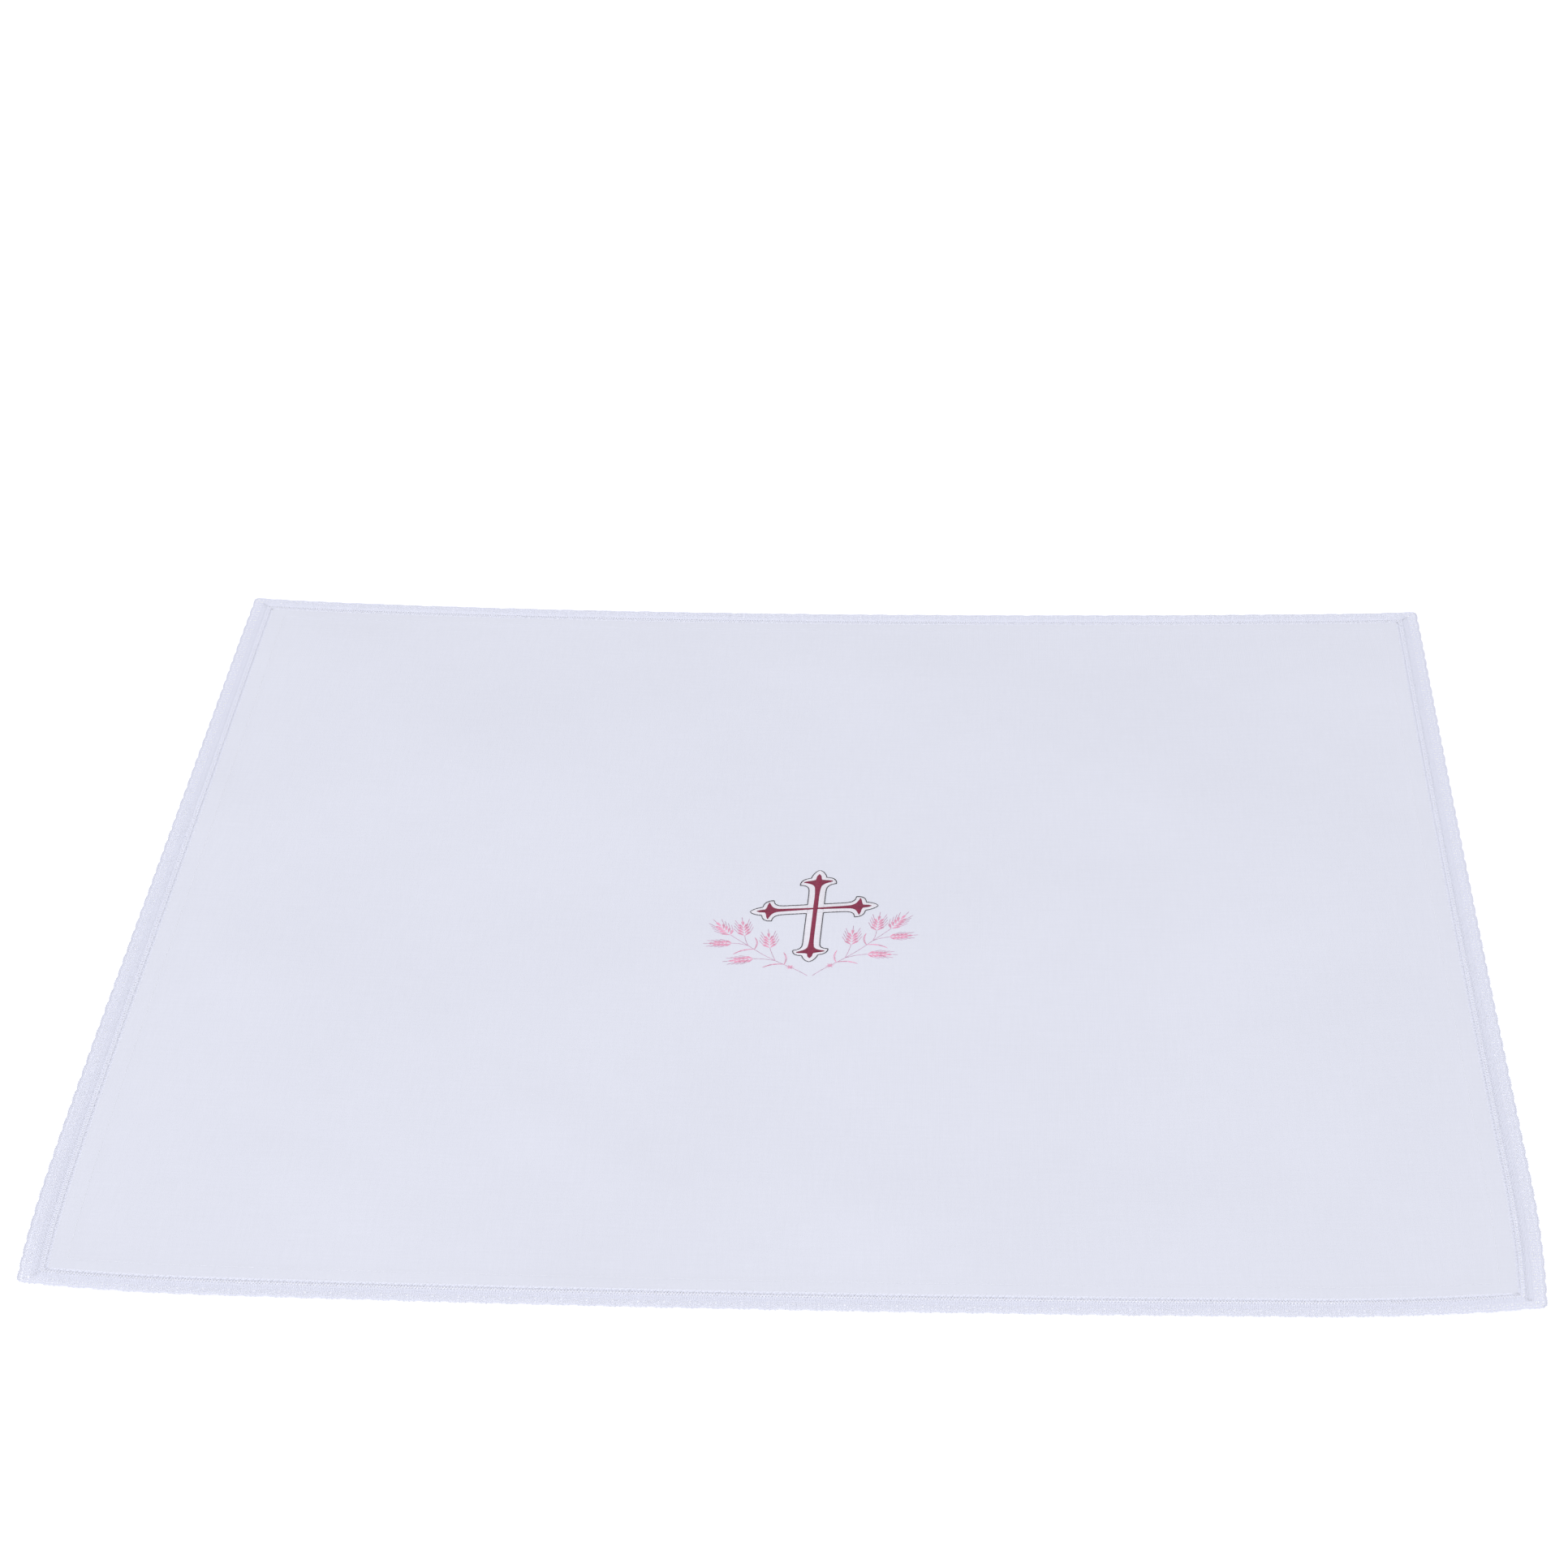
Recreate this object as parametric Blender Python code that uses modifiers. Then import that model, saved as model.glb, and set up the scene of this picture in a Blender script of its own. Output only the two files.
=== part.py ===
"""Altar cloth: a hemmed square of white linen with a lace edging in four mitred lengths, laid flat.

Metres, +Z up. The cloth lies on the plane Z = 0 with +X to its right and +Y to its back, and
the origin is under the middle of its outline. Each piece is first drawn on the flat, straight
cloth and then taken by `laid` to the place and height where it lies.
"""

import math
from collections import namedtuple

import bmesh
import bpy

# The cloth as it is cut and sewn
CLOTH_SIDE = 0.500
LACE_WIDTH = 0.0095
LACE_THICKNESS = 0.0010
LINEN_THICKNESS = 0.0012
HEM_WIDTH = 0.007
HEM_THICKNESS = 0.0018
HEM_STEP = 0.0006
SEAM_GAP = 0.0003
CORNER_RADIUS = 0.005
SCALLOPS_A_SIDE = 60
SCALLOP_DEPTH = 0.0006

# How far each side strays from the straight line between its corners, outwards being positive,
# and where along the side it strays most, as a share of half its length
Bow = namedtuple("Bow", "out peak")
FRONT_BOW = Bow(out=0.0038, peak=0.0)
BACK_BOW = Bow(out=-0.0080, peak=-0.08)
LEFT_BOW = Bow(out=0.0024, peak=-0.60)
RIGHT_BOW = Bow(out=-0.0008, peak=0.0)

# Each corner stands a little off the table and is drawn in; both die out within its reach
Corner = namedtuple("Corner", "side end lift reach draw_x draw_y")
CORNERS = (
    Corner(side=-1, end=-1, lift=0.0022, reach=0.060, draw_x=0.0012, draw_y=0.0004),
    Corner(side=1, end=-1, lift=0.0030, reach=0.080, draw_x=0.0044, draw_y=0.0012),
    Corner(side=-1, end=1, lift=0.0008, reach=0.045, draw_x=0.0006, draw_y=0.0006),
    Corner(side=1, end=1, lift=0.0007, reach=0.045, draw_x=0.0004, draw_y=0.0006),
)

# Soft rises where the ironed linen doesn't touch the table: low ovals, turned counter-clockwise
Rise = namedtuple("Rise", "x y half_length half_width turn_deg height")
RISES = (
    Rise(x=-0.200, y=-0.045, half_length=0.062, half_width=0.030, turn_deg=-62, height=0.0010),
    Rise(x=-0.076, y=-0.152, half_length=0.070, half_width=0.028, turn_deg=-48, height=0.0012),
    Rise(x=-0.152, y=-0.186, half_length=0.052, half_width=0.024, turn_deg=-36, height=0.0009),
    Rise(x=0.020, y=-0.196, half_length=0.064, half_width=0.030, turn_deg=12, height=0.0008),
    Rise(x=0.196, y=-0.128, half_length=0.058, half_width=0.032, turn_deg=70, height=0.0010),
    Rise(x=0.150, y=0.084, half_length=0.082, half_width=0.034, turn_deg=24, height=0.0011),
    Rise(x=-0.154, y=0.128, half_length=0.074, half_width=0.036, turn_deg=108, height=0.0010),
    Rise(x=0.016, y=0.196, half_length=0.070, half_width=0.026, turn_deg=-8, height=0.0008),
)

# Fineness of the faceted solids
PANEL_SQUARES = 38
STEPS_A_SCALLOP = 4

HALF_SIDE = CLOTH_SIDE / 2
LACE_INSIDE = HALF_SIDE - LACE_WIDTH
PANEL_HALF = LACE_INSIDE - SEAM_GAP


def swell(share, peak):
    """0 at both ends of a side, -1 and 1, and 1 at the peak."""
    moved = (share - peak) / (1 - share * peak)
    return 1 - moved * moved


def corner_pull(x, y):
    """(lift, shift in X, shift in Y) that the corners give a point of the flat cloth."""
    lift = shift_x = shift_y = 0.0
    for corner in CORNERS:
        away = math.hypot(x - corner.side * HALF_SIDE, y - corner.end * HALF_SIDE) / corner.reach
        share = max(0.0, 1 - away) ** 2
        lift += corner.lift * share
        shift_x -= corner.side * corner.draw_x * share
        shift_y -= corner.end * corner.draw_y * share
    return lift, shift_x, shift_y


def rise_height(x, y):
    """Height that the soft rises give a point of the flat cloth."""
    height = 0.0
    for rise in RISES:
        turn = math.radians(rise.turn_deg)
        along = (x - rise.x) * math.cos(turn) + (y - rise.y) * math.sin(turn)
        across = (y - rise.y) * math.cos(turn) - (x - rise.x) * math.sin(turn)
        away = math.hypot(along / rise.half_length, across / rise.half_width)
        if away < 1:
            height += rise.height * (1 + math.cos(math.pi * away)) / 2
    return height


def laid(x, y):
    """Where a point of the flat, straight cloth lies: its place and its height off the table."""
    across, back = x / HALF_SIDE, y / HALF_SIDE
    lift, shift_x, shift_y = corner_pull(x, y)
    shift_x -= LEFT_BOW.out * swell(back, LEFT_BOW.peak) * (1 - across) / 2
    shift_x += RIGHT_BOW.out * swell(back, RIGHT_BOW.peak) * (1 + across) / 2
    shift_y -= FRONT_BOW.out * swell(across, FRONT_BOW.peak) * (1 - back) / 2
    shift_y += BACK_BOW.out * swell(across, BACK_BOW.peak) * (1 + back) / 2
    middle_x, middle_y = LEFT_BOW.out / 2, FRONT_BOW.out / 2
    return x + shift_x + middle_x, y + shift_y + middle_y, lift + rise_height(x, y)


def make_material(name, colour, roughness):
    material = bpy.data.materials.new(name)
    material.use_nodes = True
    shader = material.node_tree.nodes["Principled BSDF"]
    shader.inputs["Base Color"].default_value = (*colour, 1)
    shader.inputs["Roughness"].default_value = roughness
    shader.inputs["Metallic"].default_value = 0
    return material


def make_sheet(name, columns, rows, flat_place, thickness, material):
    """A solid sheet from a grid: flat_place(column, row) is a grid point's place on the flat cloth."""
    mesh = bpy.data.meshes.new(name)
    grid = bmesh.new()
    bmesh.ops.create_grid(grid, x_segments=columns, y_segments=rows, size=1)
    for point in grid.verts:
        column = round((point.co.x + 1) / 2 * columns)
        row = round((point.co.y + 1) / 2 * rows)
        point.co = laid(*flat_place(column, row))
    grid.to_mesh(mesh)
    grid.free()
    mesh.materials.append(material)
    sheet = bpy.data.objects.new(name, mesh)
    body = sheet.modifiers.new("body", "SOLIDIFY")
    body.thickness = thickness
    body.offset = 1
    return sheet


def panel_lines():
    """The places of the panel's grid lines: even squares between two hems."""
    inner = PANEL_HALF - HEM_WIDTH - HEM_STEP
    even = [inner * (2 * step / PANEL_SQUARES - 1) for step in range(PANEL_SQUARES + 1)]
    return [-PANEL_HALF, HEM_WIDTH - PANEL_HALF, *even, PANEL_HALF - HEM_WIDTH, PANEL_HALF]


def make_panel(material):
    """The linen square, with its turned hem as a thicker border."""
    lines = panel_lines()
    count = len(lines) - 1
    panel = make_sheet(
        "linen_panel", count, count, lambda column, row: (lines[column], lines[row]), HEM_THICKNESS, material
    )
    hem_lines = {0, 1, count - 1, count}
    hem = panel.vertex_groups.new(name="hem")
    hem.add(
        [
            point.index
            for point in panel.data.vertices
            if {point.index % (count + 1), point.index // (count + 1)} & hem_lines
        ],
        1.0,
        "REPLACE",
    )
    body = panel.modifiers["body"]
    body.vertex_group = hem.name
    body.thickness_vertex_group = LINEN_THICKNESS / HEM_THICKNESS
    return panel


def lace_reach(along):
    """How far out the lace's edge runs from the cloth's middle: scallops, and a round corner."""
    scallop = abs(math.sin(math.pi * SCALLOPS_A_SIDE * (along + HALF_SIDE) / CLOTH_SIDE))
    reach = HALF_SIDE - SCALLOP_DEPTH * (1 - scallop)
    into_corner = max(0.0, abs(along) - (HALF_SIDE - CORNER_RADIUS))
    return reach - CORNER_RADIUS + math.sqrt(CORNER_RADIUS**2 - into_corner**2)


def make_lace(name, outward_deg, material):
    """One length of lace, mitred at both ends; outward_deg is the way its scallops face."""
    outward = math.radians(outward_deg)
    mitre_gap = SEAM_GAP / math.sqrt(2)
    outer_half = HALF_SIDE - CORNER_RADIUS * (1 - math.sqrt(0.5)) - mitre_gap
    inner_half = LACE_INSIDE - mitre_gap
    rows = SCALLOPS_A_SIDE * STEPS_A_SCALLOP

    def flat_place(column, row):
        share = 2 * row / rows - 1
        along = share * (outer_half if column else inner_half)
        out = max(lace_reach(along), abs(along) + mitre_gap) if column else LACE_INSIDE
        return (
            out * math.cos(outward) - along * math.sin(outward),
            out * math.sin(outward) + along * math.cos(outward),
        )

    return make_sheet(name, 1, rows, flat_place, LACE_THICKNESS, material)


def main():
    for leftover in list(bpy.data.objects):
        bpy.data.objects.remove(leftover)

    linen = make_material("white_linen", (0.78, 0.80, 0.87), 0.85)
    lace = make_material("white_cotton_lace", (0.76, 0.78, 0.85), 0.80)
    pieces = [
        make_panel(linen),
        make_lace("lace_front", -90, lace),
        make_lace("lace_right", 0, lace),
        make_lace("lace_back", 90, lace),
        make_lace("lace_left", 180, lace),
    ]

    collection = bpy.data.collections.new("altar_cloth")
    bpy.context.scene.collection.children.link(collection)
    cloth = bpy.data.objects.new("altar_cloth", None)
    collection.objects.link(cloth)
    for piece in pieces:
        collection.objects.link(piece)
        piece.parent = cloth


main()
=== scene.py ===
"""The looks of a square altar cloth: white linen with a lace edge and an embroidered cross between
two sprays of wheat, laid flat.

Metres, +Z up. Every piece is first made on the flat, straight cloth, whose middle is at 0, 0, and then
taken by `lay` to where it lies. The folds and the sides' bows are those of the cloth's solids.
"""

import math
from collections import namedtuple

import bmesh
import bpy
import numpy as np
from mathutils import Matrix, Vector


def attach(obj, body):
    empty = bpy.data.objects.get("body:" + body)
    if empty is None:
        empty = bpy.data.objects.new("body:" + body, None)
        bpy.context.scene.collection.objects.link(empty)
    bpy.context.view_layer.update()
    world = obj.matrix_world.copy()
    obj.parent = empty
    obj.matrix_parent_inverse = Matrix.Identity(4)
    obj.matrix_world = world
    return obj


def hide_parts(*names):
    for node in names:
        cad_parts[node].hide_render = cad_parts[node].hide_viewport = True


bl_info = {
    "name": "Laced Altar Cloth",
    "version": (1, 0, 0),
    "blender": (4, 5, 0),
    "location": "View3D > Sidebar > Altar Cloth",
    "description": "Makes a linen altar cloth with thread lace and embroidery",
    "category": "Object",
}

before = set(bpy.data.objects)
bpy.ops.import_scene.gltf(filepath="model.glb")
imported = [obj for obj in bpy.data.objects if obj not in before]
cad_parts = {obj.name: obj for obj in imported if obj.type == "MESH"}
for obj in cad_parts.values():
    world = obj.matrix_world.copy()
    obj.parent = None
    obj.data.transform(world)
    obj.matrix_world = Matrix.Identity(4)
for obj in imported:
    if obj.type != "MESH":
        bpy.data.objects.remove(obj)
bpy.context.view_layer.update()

MM = 0.001
# Two points closer than this count as one
SAME_PLACE = 0.01 * MM

# The cloth as it is cut and sewn, as its solids have it
CLOTH_SIDE = 500 * MM
LACE_WIDTH = 9.5 * MM
HEM_WIDTH = 7 * MM
SCALLOPS_A_SIDE = 60
HALF_SIDE = CLOTH_SIDE / 2
LACE_INSIDE = HALF_SIDE - LACE_WIDTH
SEAM_GAP = 0.3 * MM
PANEL_HALF = LACE_INSIDE - SEAM_GAP
# The thread lace is more pointed at its corners than its plain solids, which have a radius of 5 mm
CORNER_RADIUS = 2.5 * MM

# How far each side strays from a straight line, and where along it, as the solids have it
Bow = namedtuple("Bow", "out peak")
FRONT_BOW = Bow(out=3.8 * MM, peak=0.0)
BACK_BOW = Bow(out=-8.0 * MM, peak=-0.08)
LEFT_BOW = Bow(out=2.4 * MM, peak=-0.60)
RIGHT_BOW = Bow(out=-0.8 * MM, peak=0.0)

# The corners' lift and draw, in millimetres, as the solids have them
Corner = namedtuple("Corner", "side end lift reach draw_x draw_y")
CORNERS = (
    Corner(side=-1, end=-1, lift=2.2, reach=60, draw_x=1.2, draw_y=0.4),
    Corner(side=1, end=-1, lift=3.0, reach=80, draw_x=4.4, draw_y=1.2),
    Corner(side=-1, end=1, lift=0.8, reach=45, draw_x=0.6, draw_y=0.6),
    Corner(side=1, end=1, lift=0.7, reach=45, draw_x=0.4, draw_y=0.6),
)

# The soft rises, in millimetres, as the solids have them
Rise = namedtuple("Rise", "x y half_length half_width turn_deg height")
RISES = (
    Rise(x=-200, y=-45, half_length=62, half_width=30, turn_deg=-62, height=1.0),
    Rise(x=-76, y=-152, half_length=70, half_width=28, turn_deg=-48, height=1.2),
    Rise(x=-152, y=-186, half_length=52, half_width=24, turn_deg=-36, height=0.9),
    Rise(x=20, y=-196, half_length=64, half_width=30, turn_deg=12, height=0.8),
    Rise(x=196, y=-128, half_length=58, half_width=32, turn_deg=70, height=1.0),
    Rise(x=150, y=84, half_length=82, half_width=34, turn_deg=24, height=1.1),
    Rise(x=-154, y=128, half_length=74, half_width=36, turn_deg=108, height=1.0),
    Rise(x=16, y=196, half_length=70, half_width=26, turn_deg=-8, height=0.8),
)

# Small unevenness of ironed linen: waves across the cloth, with their length and which way they run
Wave = namedtuple("Wave", "length turn_deg start")
CLOTH_WAVES = (
    Wave(length=71 * MM, turn_deg=12, start=0.4),
    Wave(length=53 * MM, turn_deg=-37, start=2.1),
    Wave(length=96 * MM, turn_deg=68, start=4.0),
    Wave(length=43 * MM, turn_deg=105, start=1.2),
)
CLOTH_WAVE_HEIGHT = 0.05 * MM
PUCKER_WAVES = (
    Wave(length=17 * MM, turn_deg=0, start=0.3),
    Wave(length=11.3 * MM, turn_deg=0, start=1.9),
    Wave(length=29 * MM, turn_deg=0, start=5.2),
)
PUCKER_HEIGHT = 0.08 * MM
PUCKER_REACH = 26 * MM

# The hem's thickness over the plain cloth's, as a share, by the distance from the cloth's edge
HEM_PROFILE = (
    (0.0, 0.1),
    (0.06 * MM, 0.7),
    (0.18 * MM, 0.92),
    (0.5 * MM, 1.0),
    (6.3 * MM, 1.0),
    (6.9 * MM, 0.72),
    (7.5 * MM, 0.3),
    (8.3 * MM, 0.0),
)
PANEL_SQUARES = 168


def linear(colour):
    """Linear red, green and blue from an sRGB hex value."""
    parts = [int(colour[i : i + 2], 16) / 255 for i in (1, 3, 5)]
    return tuple(part / 12.92 if part <= 0.04045 else ((part + 0.055) / 1.055) ** 2.4 for part in parts)


def length_property(name, description, default):
    return bpy.props.FloatProperty(
        name=name, description=description, default=default, min=0, unit="LENGTH", precision=5
    )


def colour_property(name, description, default):
    return bpy.props.FloatVectorProperty(
        name=name, description=description, default=linear(default), min=0, max=1, size=3, subtype="COLOR"
    )


def strength_property(name, description, default):
    return bpy.props.FloatProperty(name=name, description=description, default=default, min=0)


class LinenSettings(bpy.types.PropertyGroup):
    thickness: length_property("Thickness", "Thickness of one layer of the linen", 0.32 * MM)
    hem_thickness: length_property("Hem thickness", "Thickness of the turned hem", 0.5 * MM)
    thread_pitch: length_property("Thread pitch", "From one warp thread to the next", 0.62 * MM)
    colour: colour_property("Colour", "Colour of the linen", "#DCDEEB")


class LaceSettings(bpy.types.PropertyGroup):
    cord: length_property("Cord", "Thickness of the lace's cords", 0.46 * MM)
    heading: length_property("Heading", "Thickness of the heading's waving cords", 0.58 * MM)
    thread: length_property("Thread", "Thickness of the lace's threads", 0.38 * MM)
    picot: length_property("Picot", "Width of the small loops on the edge", 0.45 * MM)
    colour: colour_property("Colour", "Colour of the lace's cotton", "#EDEFFD")


class EmbroiderySettings(bpy.types.PropertyGroup):
    satin_pitch: length_property("Satin pitch", "From one satin stitch to the next", 0.31 * MM)
    thread: length_property("Thread", "Thickness of the embroidery thread", 0.38 * MM)
    outline_thread: length_property("Outline thread", "Thickness of the outline's thread", 0.31 * MM)
    outline_stitch: length_property("Outline stitch", "Length of one outline stitch", 1.5 * MM)
    stem_stitch: length_property("Stem stitch", "Length of one stitch of the wheat's stems", 2.2 * MM)
    wine: colour_property("Wine", "Colour of the cross's middle line", "#892047")
    charcoal: colour_property("Charcoal", "Colour of the cross's outline", "#241C28")
    pink: colour_property("Pink", "Colour of the wheat", "#E6A2C0")
    rose: colour_property("Rose", "Colour of the wheat's stems and awns", "#CC96B6")
    white: colour_property("White", "Colour of the cross's filling", "#E4E2EC")


class SewingSettings(bpy.types.PropertyGroup):
    thread: length_property("Thread", "Thickness of the thread that sews the lace on", 0.21 * MM)
    hem_thread: length_property("Hem thread", "Thickness of the thread that sews the hem", 0.24 * MM)
    hem_stitch: length_property("Hem stitch", "Length of one stitch of the hem", 2.6 * MM)
    colour: colour_property("Colour", "Colour of the sewing thread", "#F3F5FF")


class StageSettings(bpy.types.PropertyGroup):
    floor: colour_property("Floor", "Colour of the floor", "#FFFFFF")
    glow: strength_property("Glow", "How much the lit floor is overexposed", 0.32)
    dome: strength_property("Dome", "Strength of the even light", 0.8)
    key: strength_property("Key", "Power of the soft key light in watts", 52.3)


def swell(share, peak):
    """0 at both ends of a side, -1 and 1, and 1 at the peak."""
    moved = (share - peak) / (1 - share * peak)
    return 1 - moved * moved


def sum_of_waves(waves, x, y):
    """Irregular waves between -1 and 1."""
    total = 0
    for wave in waves:
        turn = math.radians(wave.turn_deg)
        across = x * math.cos(turn) + y * math.sin(turn)
        total = total + np.sin(2 * math.pi * across / wave.length + wave.start)
    return total / len(waves)


def unevenness(x, y):
    """Height of the small unevenness at a place of the flat cloth, never below 0."""
    height = CLOTH_WAVE_HEIGHT * (1 + sum_of_waves(CLOTH_WAVES, x, y))
    edge_x, edge_y = HALF_SIDE - np.abs(x), HALF_SIDE - np.abs(y)
    along = np.where(edge_x < edge_y, y, x)
    near = np.clip(1 - np.minimum(edge_x, edge_y) / PUCKER_REACH, 0, 1)
    return height + PUCKER_HEIGHT * near**2 * (1 + sum_of_waves(PUCKER_WAVES, along, 0))


def lay(flat):
    """Takes an (n, 3) array of places on the flat, straight cloth to where they lie."""
    x, y, height = flat.T
    across, back = x / HALF_SIDE, y / HALF_SIDE
    shift_x = -LEFT_BOW.out * swell(back, LEFT_BOW.peak) * (1 - across) / 2
    shift_x = shift_x + RIGHT_BOW.out * swell(back, RIGHT_BOW.peak) * (1 + across) / 2
    shift_y = -FRONT_BOW.out * swell(across, FRONT_BOW.peak) * (1 - back) / 2
    shift_y = shift_y + BACK_BOW.out * swell(across, BACK_BOW.peak) * (1 + back) / 2
    lift = unevenness(x, y)
    for corner in CORNERS:
        away = np.hypot(x - corner.side * HALF_SIDE, y - corner.end * HALF_SIDE) / (corner.reach * MM)
        share = np.clip(1 - away, 0, 1) ** 2
        lift = lift + corner.lift * MM * share
        shift_x = shift_x - corner.side * corner.draw_x * MM * share
        shift_y = shift_y - corner.end * corner.draw_y * MM * share
    for rise in RISES:
        turn = math.radians(rise.turn_deg)
        right, up = x / MM - rise.x, y / MM - rise.y
        along = (right * math.cos(turn) + up * math.sin(turn)) / rise.half_length
        side = (up * math.cos(turn) - right * math.sin(turn)) / rise.half_width
        away = np.clip(np.hypot(along, side), 0, 1)
        lift = lift + rise.height * MM * (1 + np.cos(math.pi * away)) / 2
    middle_x, middle_y = LEFT_BOW.out / 2, FRONT_BOW.out / 2
    return np.column_stack((x + shift_x + middle_x, y + shift_y + middle_y, height + lift))


def move_points(mesh, move):
    """Puts each of the mesh's points where move, a function of an (n, 3) array, takes it."""
    points = np.empty(len(mesh.vertices) * 3)
    mesh.vertices.foreach_get("co", points)
    mesh.vertices.foreach_set("co", move(points.reshape(-1, 3)).ravel())
    mesh.update()


def feed(tree, node, inputs):
    """Sets a node's inputs, by socket name, to values or to other nodes' sockets."""
    for name, value in inputs.items():
        socket = node.inputs[name]
        if isinstance(value, bpy.types.NodeSocket):
            tree.links.new(value, socket)
        else:
            socket.default_value = value


def add(tree, kind, inputs=None, **settings):
    """Adds a node: settings are its own, and inputs are as in feed."""
    node = tree.nodes.new(kind)
    for name, value in settings.items():
        setattr(node, name, value)
    feed(tree, node, inputs or {})
    return node


def new_material(name):
    """A material and its tree, Principled shader and output already linked."""
    material = bpy.data.materials.new(name)
    material.use_nodes = True
    tree = material.node_tree
    return material, tree, tree.nodes["Principled BSDF"]


def finish_surface(tree, shader, shade, tones, relief, values):
    """Colours a shader from one tone to the other by shade, and gives it its relief and other values."""
    dark, light = tones
    mixed = add(
        tree, "ShaderNodeMix", {"Factor": shade, "A": (*dark, 1), "B": (*light, 1)}, data_type="RGBA"
    )
    bump = add(tree, "ShaderNodeBump", relief)
    feed(tree, shader, {"Base Color": mixed.outputs["Result"], "Normal": bump.outputs["Normal"], **values})


def new_geometry_tree(name, sockets):
    """A geometry tree with the named inputs, and its input and output nodes."""
    tree = bpy.data.node_groups.new(name, "GeometryNodeTree")
    tree.interface.new_socket(name="Geometry", in_out="INPUT", socket_type="NodeSocketGeometry")
    for label, kind in sockets:
        tree.interface.new_socket(name=label, in_out="INPUT", socket_type=kind)
    tree.interface.new_socket(name="Geometry", in_out="OUTPUT", socket_type="NodeSocketGeometry")
    return tree, tree.nodes.new("NodeGroupInput"), tree.nodes.new("NodeGroupOutput")


def finish_geometry(tree, geometry, material, made):
    """Ends a geometry tree: the geometry is made real and gets its material."""
    real = add(tree, "GeometryNodeRealizeInstances", {"Geometry": geometry})
    coloured = add(
        tree, "GeometryNodeSetMaterial", {"Geometry": real.outputs["Geometry"], "Material": material}
    )
    feed(tree, made, {"Geometry": coloured.outputs["Geometry"]})


def grow(tree, data, values):
    """The plain mesh that the geometry tree makes of data with these values."""
    carrier = bpy.data.objects.new("carrier", data)
    bpy.context.scene.collection.objects.link(carrier)
    modifier = carrier.modifiers.new("grow", "NODES")
    modifier.node_group = tree
    for item in tree.interface.items_tree:
        if item.in_out == "INPUT" and item.name in values:
            modifier[item.identifier] = values[item.name]
    graph = bpy.context.evaluated_depsgraph_get()
    mesh = bpy.data.meshes.new_from_object(carrier.evaluated_get(graph))
    bpy.data.objects.remove(carrier)
    return mesh


def show(name, mesh, replaced=None):
    """Makes a piece of the mesh, which rides on the root and may stand for a node of the frame."""
    mesh.name = name
    mesh.shade_smooth()
    piece = bpy.data.objects.new(name, mesh)
    bpy.context.scene.collection.objects.link(piece)
    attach(piece, "root")
    if replaced:
        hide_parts(replaced)
    return piece


# Linen


def linen_lines():
    """The places of the panel's grid lines: even squares between two hems, which have finer lines."""
    hem = [distance - PANEL_HALF for distance, _ in HEM_PROFILE]
    even = np.linspace(hem[-1], -hem[-1], PANEL_SQUARES + 1)[1:-1]
    return np.array([*hem, *even, *(-place for place in reversed(hem))])


# Slubs are long along their thread and narrow across it: how many there are to a metre each way
SLUBS_ALONG = 60
SLUBS_ACROSS = 900
WEAVE_DEPTH = 0.06 * MM
CLOUDS_A_METRE = 9
LINEN_DARKEST = 0.955


def plain_weave_linen(linen):
    """Plain-weave linen, bleached and ironed: matt, with a fine over-and-under grain and thicker slubs."""
    material, tree, shader = new_material("plain_weave_linen")
    place = add(tree, "ShaderNodeUVMap", uv_map="flat").outputs["UV"]
    # One unit of this mapping is one thread, and the wave texture turns by 20 radians a unit. Real threads
    # lie about 0.45 mm apart, and these are a little coarser, so that they show.
    threads = add(tree, "ShaderNodeMapping", {"Vector": place, "Scale": (1 / linen.thread_pitch,) * 3})
    bands = {"Vector": threads.outputs[0], "Scale": 2 * math.pi / 20, "Distortion": 0.5, "Detail": 1}
    warp, weft = (add(tree, "ShaderNodeTexWave", bands, bands_direction=axis) for axis in "XY")
    over = add(tree, "ShaderNodeTexChecker", {"Vector": threads.outputs[0], "Scale": 1})
    crossing = {"Factor": over.outputs["Fac"], "A": warp.outputs["Fac"], "B": weft.outputs["Fac"]}
    weave = add(tree, "ShaderNodeMix", crossing)
    slubs = []
    for scale in ((SLUBS_ALONG, SLUBS_ACROSS, 1), (SLUBS_ACROSS, SLUBS_ALONG, 1)):
        stretched = add(tree, "ShaderNodeMapping", {"Vector": place, "Scale": scale})
        noise = add(tree, "ShaderNodeTexNoise", {"Vector": stretched.outputs[0], "Scale": 1, "Detail": 2})
        slubs.append(noise.outputs["Fac"])
    uneven = add(tree, "ShaderNodeMath", dict(enumerate(slubs)), operation="MULTIPLY").outputs[0]
    height = add(tree, "ShaderNodeMath", {0: weave.outputs[0], 1: uneven}, operation="ADD")
    clouds = add(tree, "ShaderNodeTexNoise", {"Vector": place, "Scale": CLOUDS_A_METRE, "Detail": 3})
    tone = add(tree, "ShaderNodeMath", {0: uneven, 1: clouds.outputs["Fac"]}, operation="ADD")
    # The sum of slubs and clouds lies between about these two
    shade = add(tree, "ShaderNodeMapRange", {"Value": tone.outputs[0], "From Min": 0.45, "From Max": 1.05})
    tones = (tuple(part * LINEN_DARKEST for part in linen.colour), linen.colour)
    relief = {"Height": height.outputs[0], "Strength": 0.35, "Distance": WEAVE_DEPTH}
    finish = {"Roughness": 0.88, "Specular IOR Level": 0.25, "Sheen Weight": 0.15, "Sheen Roughness": 0.5}
    finish_surface(tree, shader, shade.outputs["Result"], tones, relief, finish)
    return material


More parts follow.
